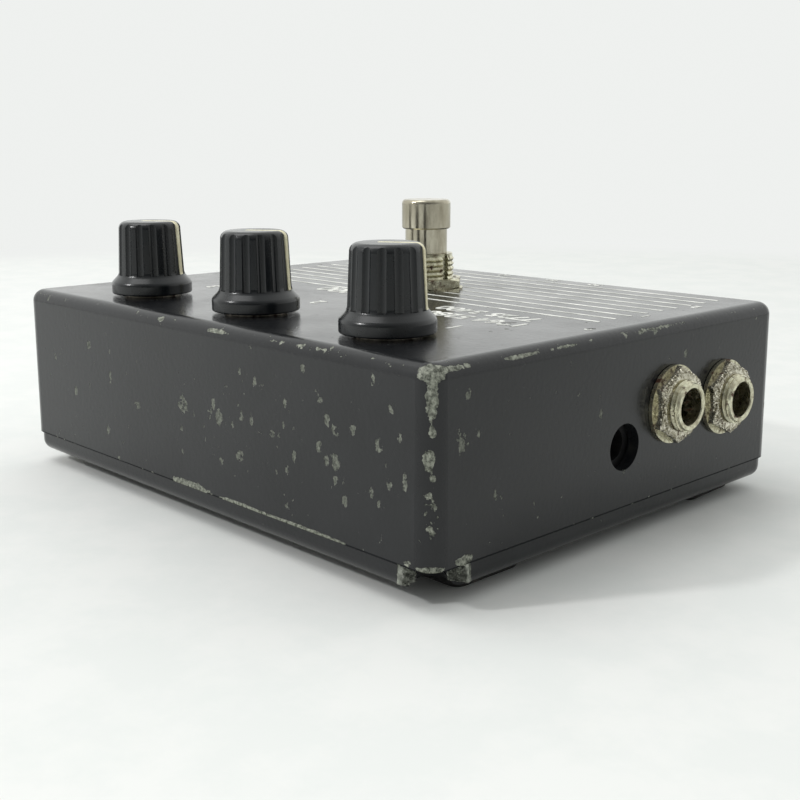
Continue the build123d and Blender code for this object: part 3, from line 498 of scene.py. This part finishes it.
# ---- surfaces -----------------------------------------------------------------------------------------
def piece(name, points, faces, finish_name, body, slot=None, smooth=True):
    """Mesh of points and faces in the frame, its faces turned outwards, riding on a body."""
    same_point, hard_edge = 1e-7, math.radians(28)
    mesh = bpy.data.meshes.new(name)
    mesh.from_pydata(np.asarray(points).reshape(-1, 3).tolist(), [], faces)
    work = bmesh.new()
    work.from_mesh(mesh)
    bmesh.ops.remove_doubles(work, verts=work.verts, dist=same_point)
    bmesh.ops.recalc_face_normals(work, faces=work.faces)
    work.to_mesh(mesh)
    work.free()
    if smooth:
        mesh.shade_smooth()
        mesh.set_sharp_from_angle(angle=hard_edge)
    made = bpy.data.objects.new(name, mesh)
    bpy.context.scene.collection.objects.link(made)
    mesh.materials.append(FINISHES[finish_name])
    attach(made, body)
    return made


def skin(rings, joined=False, first=0):
    """Faces over rings of points, each ring closed: quads between neighbours, and the last ring joined to
    the first, or one flat face on each end."""
    count, around = rings.shape[:2]
    at = first + np.arange(count * around).reshape(count, around)
    if joined:
        at = np.vstack([at, at[:1]])
    side = np.roll(at, -1, axis=1)
    quads = np.stack([at[:-1], side[:-1], side[1:], at[1:]], axis=-1).reshape(-1, 4).tolist()
    return quads if joined else quads + [at[0, ::-1].tolist(), at[-1].tolist()]


def bars(starts, ends, width, low, high, waver):
    """Flat printed bars from start to end, as one mesh: each is a box profile carried along the bar in 160
    steps, and its edges waver by two sine waves, as ink does at the mesh of a screen."""
    steps = np.linspace(0, 1, 160)
    points, faces = [], []
    for n, (start, end) in enumerate(zip(starts, ends)):
        along = start + (end - start) * steps[:, None]
        length = np.linalg.norm(end - start)
        across = np.array([-(end - start)[1], (end - start)[0], 0]) / length
        run = steps * length / MM
        left = width / 2 + waver * np.sin(run * 2.1 + n) * np.sin(run * 0.53 + 2 * n)
        right = width / 2 + waver * np.sin(run * 1.7 + 3 * n) * np.sin(run * 0.41 + n)
        sides = np.stack([left, left, -right, -right], axis=1)
        heights = np.array([low, high, high, low])
        rings = along[:, None, :] + sides[:, :, None] * across
        rings[:, :, 2] = heights
        faces += skin(rings, first=len(points) * rings.shape[0] * 4)
        points.append(rings)
    return np.array(points), faces


def turned(centre, along, radii):
    """Rings of points round a line through centre along X: one ring for each place along it, with one radius
    for each of the angles, counted from Y towards Z."""
    angles = np.linspace(0, 2 * math.pi, radii.shape[1], endpoint=False)
    along = np.broadcast_to(along, radii.shape)
    return np.stack([along, centre[1] + radii * np.cos(angles), centre[2] + radii * np.sin(angles)], axis=-1)


def threaded_bush(low, high, sizes, centre):
    """Rings of a jack's bush: a flange, a thread whose radius follows a cosine of the place along the axis in
    pitches less the turn, a plain rim, and the bore, joined end to end."""
    around, steps_a_pitch = 192, 12
    flange, shoulder, rim, mouth, bore = 1.378, 0.93, 0.89, 0.74, 0.711  # radii in parts of the thread's
    thread_end, shoulder_x, mouth_x = high - 0.45 * MM, high - 0.4 * MM, high - 0.2 * MM
    turns = np.arange(around) / around
    thread = np.arange(low + sizes.bush_flange, thread_end, sizes.thread_pitch / steps_a_pitch)
    wave = 0.5 - 0.5 * np.cos(2 * math.pi * (thread[:, None] / sizes.thread_pitch - turns))
    outer = sizes.thread_radius - sizes.thread_depth * wave
    back = np.array([(low, flange), (low + sizes.bush_flange, flange)])
    front = np.array([(shoulder_x, shoulder), (high, rim), (high, mouth), (mouth_x, bore), (low, bore)])
    along = np.concatenate([back[:, 0], thread, front[:, 0]])[:, None]
    back, front = (np.broadcast_to(part[:, 1:] * sizes.thread_radius, (len(part), around))
                   for part in (back, front))
    return turned(centre, along, np.vstack([back, outer, front]))


def chewed_nut(node, sizes, seed):
    """Rings of a hexagon nut that a spanner has bitten. The radius is half the width over flats, over the
    cosine of the angle from the middle of a flat, and a cone cuts it back at the front. Random bites lower
    the front edge and the rim of the face. The hexagon's turn and size are the CAD nut's, from its farthest
    point."""
    low, high = (np.array(corner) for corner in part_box(node))
    centre = (low + high) / 2
    mesh = frame["nodes"][node].data
    flat = np.empty(len(mesh.vertices) * 3)
    mesh.vertices.foreach_get("co", flat)
    spokes = flat.reshape(-1, 3)[:, 1:] - centre[1:]
    lengths = np.hypot(*spokes.T)
    corner = math.atan2(*spokes[lengths.argmax()][::-1])
    half_flats = lengths.max() * math.cos(math.radians(30))
    around = 288
    angles = np.linspace(0, 2 * math.pi, around, endpoint=False)
    hexagon = half_flats / np.cos((angles - corner) % (math.pi / 3) - math.pi / 6)
    # place from the back in parts of the thickness, and how hard the spanner bit there
    stations = np.array([(0, 0.0), (0.35, 0.0), (0.6, 0.1), (0.74, 0.4), (0.84, 0.8), (0.92, 1.0), (1, 1.0)])
    place, force = stations[:, :1], stations[:, 1:]
    thick = high[0] - low[0]
    front_circle, cone_slope = 0.985, 1.2  # the cone's radius at the front in parts of half the flats
    radii = np.minimum(hexagon, half_flats * front_circle + (1 - place) * thick * cone_slope)
    random = np.random.default_rng(seed)
    bites = random.random((len(stations), around))
    bites = (bites + np.roll(bites, 1, axis=1) + np.roll(bites, 2, axis=1) + np.roll(bites, 1, axis=0)) / 4
    # only the strongest draws bite, and a bite goes back by a share of its depth
    gain, level, back_share = 2.6, 0.95, 0.25
    bites = np.clip(bites * gain - level, 0, 1) * force * sizes.nut_bite
    radii = radii - bites
    along = low[0] + place * thick - bites * back_share
    # the face runs in to the bore, rough at its rim only
    face_rings, rim_share, dent_share, clearance = 7, 0.97, 0.6, 0.02 * MM
    inwards = np.linspace(rim_share, 0, face_rings)[:, None]
    bore = sizes.thread_radius + clearance
    face = bore + (radii[-1:] - bore) * inwards
    dents = random.random(face.shape) * inwards ** 4 * sizes.nut_bite * dent_share
    along = np.vstack([along, high[0] - dents, np.full((2, around), low[0])])
    radii = np.vstack([radii, face, np.full((1, around), bore), radii[:1]])
    return turned(centre, along, radii)


def coil(node, turns, wire):
    """Rings of a coil spring that fills a CAD node's box: circles of the wire's radius, carried round a helix
    that climbs from the bottom to the top."""
    low, high = (np.array(corner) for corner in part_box(node))
    centre = (low + high) / 2
    rings_a_turn, around = 40, 14
    run = np.linspace(0, 1, int(turns * rings_a_turn))[:, None]
    turn = 2 * math.pi * turns * run
    round_wire = np.linspace(0, 2 * math.pi, around, endpoint=False)
    reach = (high[0] - low[0]) / 2 - wire + wire * np.cos(round_wire)
    up = low[2] + wire + (high[2] - low[2] - 2 * wire) * run + wire * np.sin(round_wire)
    return np.stack([centre[0] + reach * np.cos(turn), centre[1] + reach * np.sin(turn), up], axis=-1)


def torn_stump(start, end, sizes):
    """Rings of a torn face on the scooped corner of the base: its radius from the scoop's middle is the
    scoop's, which opens downwards, less lumps that add sines of the angle and the height to random grains."""
    centre = np.array([CASE_X + sizes.scoop_middle[0], sizes.scoop_middle[1]])
    across, up = 34, 26  # points each way
    foot, head, thickness = 3.3 * MM, PARTING - 0.05 * MM, 0.5 * MM
    scoop_top, scoop_slope = 8.5 * MM, 0.133
    least, lumpy, grainy = 0.15 * MM, 0.45 * MM, 0.3 * MM
    angles = np.radians(np.linspace(start, end, across))[:, None]
    heights = np.linspace(foot, head, up)[None, :]
    scoop = sizes.scoop_radius + (scoop_top - heights) * scoop_slope
    grains = np.random.default_rng(int(start)).random((across, up))
    swell = np.sin(angles * 41 + heights / MM * 2.3) + np.sin(heights / MM * 5.1 - angles * 17)
    lumps = 0.5 + 0.25 * swell
    front = scoop - (least + lumpy * lumps + grainy * grains)
    back = np.broadcast_to(scoop + thickness, front.shape)[:, ::-1]
    reach = np.hstack([front, back])
    rise = np.broadcast_to(np.hstack([heights, heights[:, ::-1]]), reach.shape)
    return np.stack([centre[0] + reach * np.cos(angles), centre[1] + reach * np.sin(angles), rise], axis=-1)


def lettering(name, words, spots, size, turn, high):
    """Flat printed figures: each word is set as text, made a mesh, turned about its middle and put at its
    spot."""
    points, faces = [], []
    for word, (x, y) in zip(words, spots):
        curve = bpy.data.curves.new(name, "FONT")
        curve.body, curve.size, curve.align_x, curve.align_y = word, size, "CENTER", "CENTER"
        curve.extrude = 0.02 * MM
        curve.offset = size * 0.03
        made = bpy.data.objects.new(name, curve)
        mesh = bpy.data.meshes.new_from_object(made)
        flat = np.empty(len(mesh.vertices) * 3)
        mesh.vertices.foreach_get("co", flat)
        flat = flat.reshape(-1, 3)
        cos, sin = math.cos(turn), math.sin(turn)
        placed = np.stack([x + cos * flat[:, 0] - sin * flat[:, 1], y + sin * flat[:, 0] + cos * flat[:, 1],
                           high + flat[:, 2]], axis=1)
        first = sum(len(p) for p in points)
        faces += [[first + v for v in polygon.vertices] for polygon in mesh.polygons]
        points.append(placed)
        bpy.data.objects.remove(made)
        bpy.data.curves.remove(curve)
        bpy.data.meshes.remove(mesh)
    return np.vstack(points), faces


# Plain numbers on the top: name, words, places as (along from the case's middle, across) and height in mm
NUMBERS = [
    ("large_numbers", ["1000", "2000"], [(-10.0, -1.6), (-44.0, -1.6)], 7.0),
    ("row_numbers", ["7725 3400", "1964 5280"], [(31.5, -4.4), (34.0, -10.4)], 5.4),
    ("control_numbers", ["1", "2", "3"], [(38.0, -19.5), (-1.0, -16.3), (-35.0, -16.5)], 4.6),
    ("socket_numbers", ["9", "1", "2"], [(55.0, -5.4), (53.0, 13.0), (53.0, 29.0)], 3.2),
    ("rear_numbers", ["10", "20", "30"], [(-5.4, 42.6), (8.3, 42.6), (20.0, 42.6)], 3.2),
]


# ---- sizes and colours that a user can change -----------------------------------------------------------
class PedalSizes(bpy.types.PropertyGroup):
    """Sizes of what is added to the CAD nodes."""

    rule_count: bpy.props.IntProperty(name="Rules", description="Printed lines across the top", default=9,
                                      min=1)
    rule_pitch: bpy.props.FloatProperty(name="Rule pitch", description="From one printed line to the next",
                                        default=4.67 * MM, unit="LENGTH")
    rule_width: bpy.props.FloatProperty(name="Rule width", description="Thickness of a printed line",
                                        default=0.8 * MM, unit="LENGTH")
    rule_reach: bpy.props.FloatProperty(name="Rule reach", description="Half the length of a printed line",
                                        default=51.3 * MM, unit="LENGTH")
    rule_first: bpy.props.FloatProperty(name="First rule", description="Across the case, from its middle",
                                        default=1.9 * MM, unit="LENGTH")
    ink_height: bpy.props.FloatProperty(name="Ink", description="Thickness of the print", default=0.03 * MM,
                                        unit="LENGTH")
    thread_radius: bpy.props.FloatProperty(name="Jack thread", description="Radius over a jack's thread",
                                           default=4.5 * MM, unit="LENGTH")
    thread_pitch: bpy.props.FloatProperty(name="Jack pitch", description="Pitch of a jack's thread",
                                          default=0.8 * MM, unit="LENGTH")
    thread_depth: bpy.props.FloatProperty(name="Thread depth", description="Depth of a jack's thread",
                                          default=0.35 * MM, unit="LENGTH")
    bush_flange: bpy.props.FloatProperty(name="Bush flange", description="Thickness of a jack's inner flange",
                                         default=1.2 * MM, unit="LENGTH")
    nut_bite: bpy.props.FloatProperty(name="Nut bite", description="How deep a spanner has bitten the nuts",
                                      default=0.45 * MM, unit="LENGTH")
    spring_turns: bpy.props.FloatProperty(name="Spring turns", description="Turns of the switch's spring",
                                          default=4.5)
    spring_wire: bpy.props.FloatProperty(name="Spring wire", description="Radius of the spring's wire",
                                         default=0.35 * MM, unit="LENGTH")
    plunger_travel: bpy.props.FloatProperty(name="Plunger travel", description="How far the switch goes down",
                                            default=3.5 * MM, unit="LENGTH")
    scoop_radius: bpy.props.FloatProperty(name="Broken corner", description="Radius of the corner's scoop",
                                          default=7.6 * MM, unit="LENGTH")
    scoop_middle: bpy.props.FloatVectorProperty(name="Scoop middle", unit="LENGTH", size=2,
                                                description="From the middle of the case",
                                                default=(61.2 * MM, -46.4 * MM))


class PedalColours(bpy.types.PropertyGroup):
    """Colours that a user can change."""

    paint: bpy.props.FloatVectorProperty(name="Enamel", description="Paint of the case", subtype="COLOR",
                                         default=linear("18191b")[:3])
    paint_rubbed: bpy.props.FloatVectorProperty(name="Rubbed enamel", subtype="COLOR",
                                                description="Paint where hands polish it",
                                                default=linear("1f2022")[:3])
    casting: bpy.props.FloatVectorProperty(name="Casting", description="Bare metal in the chips",
                                           subtype="COLOR", default=linear("a5a89b")[:3])
    knob: bpy.props.FloatVectorProperty(name="Knob", description="Plastic of the knobs", subtype="COLOR",
                                        default=linear("101418")[:3])
    pointer: bpy.props.FloatVectorProperty(name="Pointer", description="Filling of the pointers",
                                           subtype="COLOR", default=linear("f6f1d0")[:3])
    nickel: bpy.props.FloatVectorProperty(name="Nickel", description="Plate of bushes and nuts",
                                          subtype="COLOR", default=linear("dcdbc2")[:3])
    rust: bpy.props.FloatVectorProperty(name="Rust", description="Stains on the nuts and washers",
                                        subtype="COLOR", default=linear("4a2c1a")[:3])
    print_ink: bpy.props.FloatVectorProperty(name="Print", description="Ink of the rules and figures",
                                             subtype="COLOR", default=linear("f6f6f0")[:3])
    floor: bpy.props.FloatVectorProperty(name="Floor", description="Studio floor", subtype="COLOR",
                                         default=linear("eaebe9")[:3])


# ---- operators ------------------------------------------------------------------------------------------
class PEDAL_OT_case(bpy.types.Operator):
    """Paint and wear the shell, the base and the feet"""

    bl_idname = "pedal.case"
    bl_label = "Dress the case"

    def execute(self, context):
        FINISHES.update(make_finishes(context.scene.pedal_colours))
        dress("enclosure_shell", "base_screws", "foot_1", "foot_2", "foot_3", "foot_4")
        # the broken face between the torn stumps stays black: painted shade
        dress("base_plate", finish_name="base_paint_and_break_shade")
        sizes = context.scene.pedal_sizes
        for name, start, end in (("torn_stump_front", 181, 163), ("torn_stump_side", 103, 127)):
            rings = torn_stump(start, end, sizes)
            piece(name, rings, skin(rings), "torn_casting", "case", smooth=False)
        return {"FINISHED"}


class PEDAL_OT_print(bpy.types.Operator):
    """Print the rules and the plain figures on the top"""

    bl_idname = "pedal.print"
    bl_label = "Print the top"

    def execute(self, context):
        sizes = context.scene.pedal_sizes
        rows = sizes.rule_first + sizes.rule_pitch * np.arange(sizes.rule_count)
        starts = np.stack([np.full(len(rows), CASE_X - sizes.rule_reach), rows, np.zeros(len(rows))], axis=1)
        ends = starts + [2 * sizes.rule_reach, 0, 0]
        sunk, waver = 0.01 * MM, 0.03 * MM
        rules = bars(starts, ends, sizes.rule_width, TOP - sunk, TOP + sizes.ink_height, waver)
        piece("printed_rules", *rules, "print_ink", "case", smooth=False)

        raised = 0.01 * MM
        for name, words, places, size in NUMBERS:
            spots = [(x * MM + CASE_X, y * MM) for x, y in places]
            numbers = lettering(name, words, spots, size * MM, math.pi, TOP + raised)
            piece(name, *numbers, "print_ink", "case", smooth=False)
        return {"FINISHED"}


class PEDAL_OT_knobs(bpy.types.Operator):
    """Dress the three knobs, their pointers and the potentiometers under them"""

    bl_idname = "pedal.knobs"
    bl_label = "Dress the knobs"

    def execute(self, context):
        for n in (1, 2, 3):
            dress(f"knob_{n}", f"knob_pointer_{n}", f"pot_shaft_{n}", f"pot_wiper_{n}")
        dress("pot_bushes", "pot_wafers", "pot_cans", "pot_lugs", "pot_washers", "pot_nuts")
        return {"FINISHED"}


class PEDAL_OT_switch(bpy.types.Operator):
    """Dress the foot switch"""

    bl_idname = "pedal.switch"
    bl_label = "Dress the foot switch"

    def execute(self, context):
        dress("switch_bush", "switch_washer", "switch_nut", "switch_lower_nut", "switch_body", "switch_lugs",
              "plunger_cap", "plunger_spring")
        # the rod gets the cap's nickel, with its painted reflection streaks
        dress("plunger_rod", finish_name="cap_nickel")
        sizes = context.scene.pedal_sizes
        rings = coil("plunger_spring", sizes.spring_turns, sizes.spring_wire)
        spring = piece("return_spring", rings, skin(rings), "spring_steel", "case", "spring_steel")
        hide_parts("plunger_spring")
        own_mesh(spring)
        return {"FINISHED"}


class PEDAL_OT_sockets(bpy.types.Operator):
    """Dress the jack sockets and the power socket"""

    bl_idname = "pedal.sockets"
    bl_label = "Dress the sockets"

    def execute(self, context):
        sizes = context.scene.pedal_sizes
        for seed, name in enumerate(JACKS):
            dress(f"jack_bush_{name}", f"jack_nut_{name}", f"jack_frame_{name}", f"jack_tip_spring_{name}")
            low, high = (corner.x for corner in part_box(f"jack_bush_{name}"))
            rings = threaded_bush(low, high, sizes, JACKS[name])
            bush = piece(f"threaded_bush_{name}", rings, skin(rings, True), "nickel", "case", "nickel")
            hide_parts(f"jack_bush_{name}")
            rings = chewed_nut(f"jack_nut_{name}", sizes, seed)
            nut = piece(f"chewed_nut_{name}", rings, skin(rings, True), "chewed_nickel", "case", "nickel",
                        smooth=False)
            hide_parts(f"jack_nut_{name}")
        dress("jack_washers", "jack_wafers", "power_socket_body", "power_socket_pin", "power_socket_lugs")
        return {"FINISHED"}


class PEDAL_OT_inside(bpy.types.Operator):
    """Dress the circuit board, its parts, the battery and the wires"""

    bl_idname = "pedal.inside"
    bl_label = "Dress the inside"

    def execute(self, context):
        dress("circuit_board", "board_standoffs", "board_screws", "electrolytic_capacitors",
              "film_capacitors", "resistors", "transistors", "battery", "battery_clip", "battery_terminals",
              "battery_snap", "battery_leads", "hookup_wires")
        return {"FINISHED"}


def looking(eye, towards):
    """Matrix of a lamp or a camera at eye that looks along towards, with Z up."""
    back = -np.array(towards, float) / np.linalg.norm(towards)
    right = np.cross((0, 0, 1), back)
    right /= np.linalg.norm(right)
    up = np.cross(back, right)
    columns = np.column_stack([right, up, back, eye])
    return Matrix(np.vstack([columns, (0, 0, 0, 1)]).tolist())


def worktop(colours):
    """Sealed worktop: matt off-white with a faint cloud of wear. Far from the pedal it ends, and the camera
    sees the wall's own colour there."""
    material, tree, shader, place = blank("matt white worktop", Roughness=0.9, Specular_IOR_Level=0.1)
    cloud = noise(tree, place, size=18.0, detail=8.0, roughness=0.65)
    cloud = ramp(tree, cloud, 0.42, 0.58)
    link(tree, shader, Base_Color=mix(tree, cloud, linear("e6e8e6"), opaque(colours.floor)))
    flat = put(tree, "VectorMath", {0: place, 1: (1, 1, 0)}, operation="MULTIPLY")
    flat = put(tree, "VectorMath", {0: flat}, 1, operation="LENGTH")
    fades_from, gone_by = 430.0, 560.0  # mm from the middle
    far = ramp(tree, flat, fades_from, gone_by, shape="SMOOTHERSTEP")
    far = calc(tree, "MULTIPLY", far, put(tree, "LightPath"))
    beyond = put(tree, "Emission", {"Color": linear(WALL), "Strength": WALL_SEEN})
    both = put(tree, "MixShader", {0: far, 1: shader.outputs[0], 2: beyond})
    out = next(node for node in tree.nodes if node.type == "OUTPUT_MATERIAL")
    tree.links.new(both, out.inputs["Surface"])
    return material


def room(scene):
    """World light: a bright wall behind the pedal, a dimmer room on the near side, and someone dark standing
    at the camera."""
    world = bpy.data.worlds.new("studio_light")
    scene.world = world
    world.use_nodes = True
    tree = world.node_tree
    tree.nodes.clear()
    wall = put(tree, "VectorMath", {0: put(tree, "TexCoord"), 1: WALL_WAY}, 1, operation="DOT_PRODUCT")
    glow = ramp(tree, wall, -1.0, 0.6, low=0.33, high=1.17, shape="SMOOTHSTEP")
    person = ramp(tree, wall, -0.985, -0.88, low=0.15)
    glow = calc(tree, "MULTIPLY", glow, person)
    strength = put(tree, "Mix", {0: put(tree, "LightPath"), 2: glow, 3: WALL_SEEN})
    sky = put(tree, "Background", {"Color": linear(WALL), "Strength": strength})
    out = tree.nodes.new("ShaderNodeOutputWorld")
    tree.links.new(sky, out.inputs["Surface"])


class PEDAL_OT_studio(bpy.types.Operator):
    """Set the floor, the soft light and the camera"""

    bl_idname = "pedal.studio"
    bl_label = "Set the studio"

    def execute(self, context):
        scene = context.scene
        side = 4.0
        mesh = bpy.data.meshes.new("studio_floor")
        corners = [(-side, -side, 0), (side, -side, 0), (side, side, 0), (-side, side, 0)]
        mesh.from_pydata(corners, [], [[0, 1, 2, 3]])
        floor = bpy.data.objects.new("studio_floor", mesh)
        scene.collection.objects.link(floor)
        mesh.materials.append(worktop(scene.pedal_colours))
        room(scene)

        # a ceiling light high on the left, and a small lamp that gives the knobs their highlights
        for name, place_at, aim, size, power in (
            ("ceiling_light", (-0.35, -0.25, 1.1), (0, 0, 0), 0.7, 3.2),
            ("window_light", (-0.35, -0.75, 0.6), (0, 0, 0.03), 0.07, 3.0),
        ):
            lamp = bpy.data.lights.new(name, "AREA")
            lamp.size, lamp.energy = size, power
            made = bpy.data.objects.new(name, lamp)
            scene.collection.objects.link(made)
            towards = np.array(aim) - np.array(place_at)
            made.matrix_world = looking(place_at, towards)

        camera = bpy.data.cameras.new("camera")
        camera.lens = 51.83
        camera.sensor_width = 36.0
        camera.clip_start, camera.clip_end = 0.01, 20.0
        made = bpy.data.objects.new("camera", camera)
        scene.collection.objects.link(made)
        yaw, down, roll = math.radians(46.34), math.radians(12.69), math.radians(-0.12)
        towards = (-math.sin(yaw) * math.cos(down), math.cos(yaw) * math.cos(down), -math.sin(down))
        eye = (0.167587 + CASE_X, -0.155717, 0.066662)
        made.matrix_world = looking(eye, towards) @ Matrix.Rotation(roll, 4, "Z")
        scene.camera = made
        scene.view_settings.view_transform = "Standard"
        return {"FINISHED"}


class PEDAL_PT_sidebar(bpy.types.Panel):
    """Sizes, colours and steps of the pedal"""

    bl_label = "Foot pedal"
    bl_idname = "PEDAL_PT_sidebar"
    bl_space_type = "VIEW_3D"
    bl_region_type = "UI"
    bl_category = "Pedal"

    def draw(self, context):
        for step in STEPS:
            self.layout.operator(step.bl_idname)
        for group in (context.scene.pedal_sizes, context.scene.pedal_colours):
            for name in group.bl_rna.properties.keys():
                if name not in ("rna_type", "name"):
                    self.layout.prop(group, name)


STEPS = (PEDAL_OT_case, PEDAL_OT_print, PEDAL_OT_knobs, PEDAL_OT_switch, PEDAL_OT_sockets, PEDAL_OT_inside,
         PEDAL_OT_studio)
CLASSES = (PedalSizes, PedalColours, *STEPS, PEDAL_PT_sidebar)


def register():
    """Makes the classes and their settings known to Blender."""
    for made in CLASSES:
        bpy.utils.register_class(made)
    bpy.types.Scene.pedal_sizes = bpy.props.PointerProperty(type=PedalSizes)
    bpy.types.Scene.pedal_colours = bpy.props.PointerProperty(type=PedalColours)


def unregister():
    """Takes them back out."""
    del bpy.types.Scene.pedal_sizes, bpy.types.Scene.pedal_colours
    for made in reversed(CLASSES):
        bpy.utils.unregister_class(made)


def main():
    """Dresses the whole pedal."""
    register()
    for step in STEPS:
        group, name = step.bl_idname.split(".")
        getattr(getattr(bpy.ops, group), name)()
    bpy.context.view_layer.update()


if __name__ == "__main__":
    main()
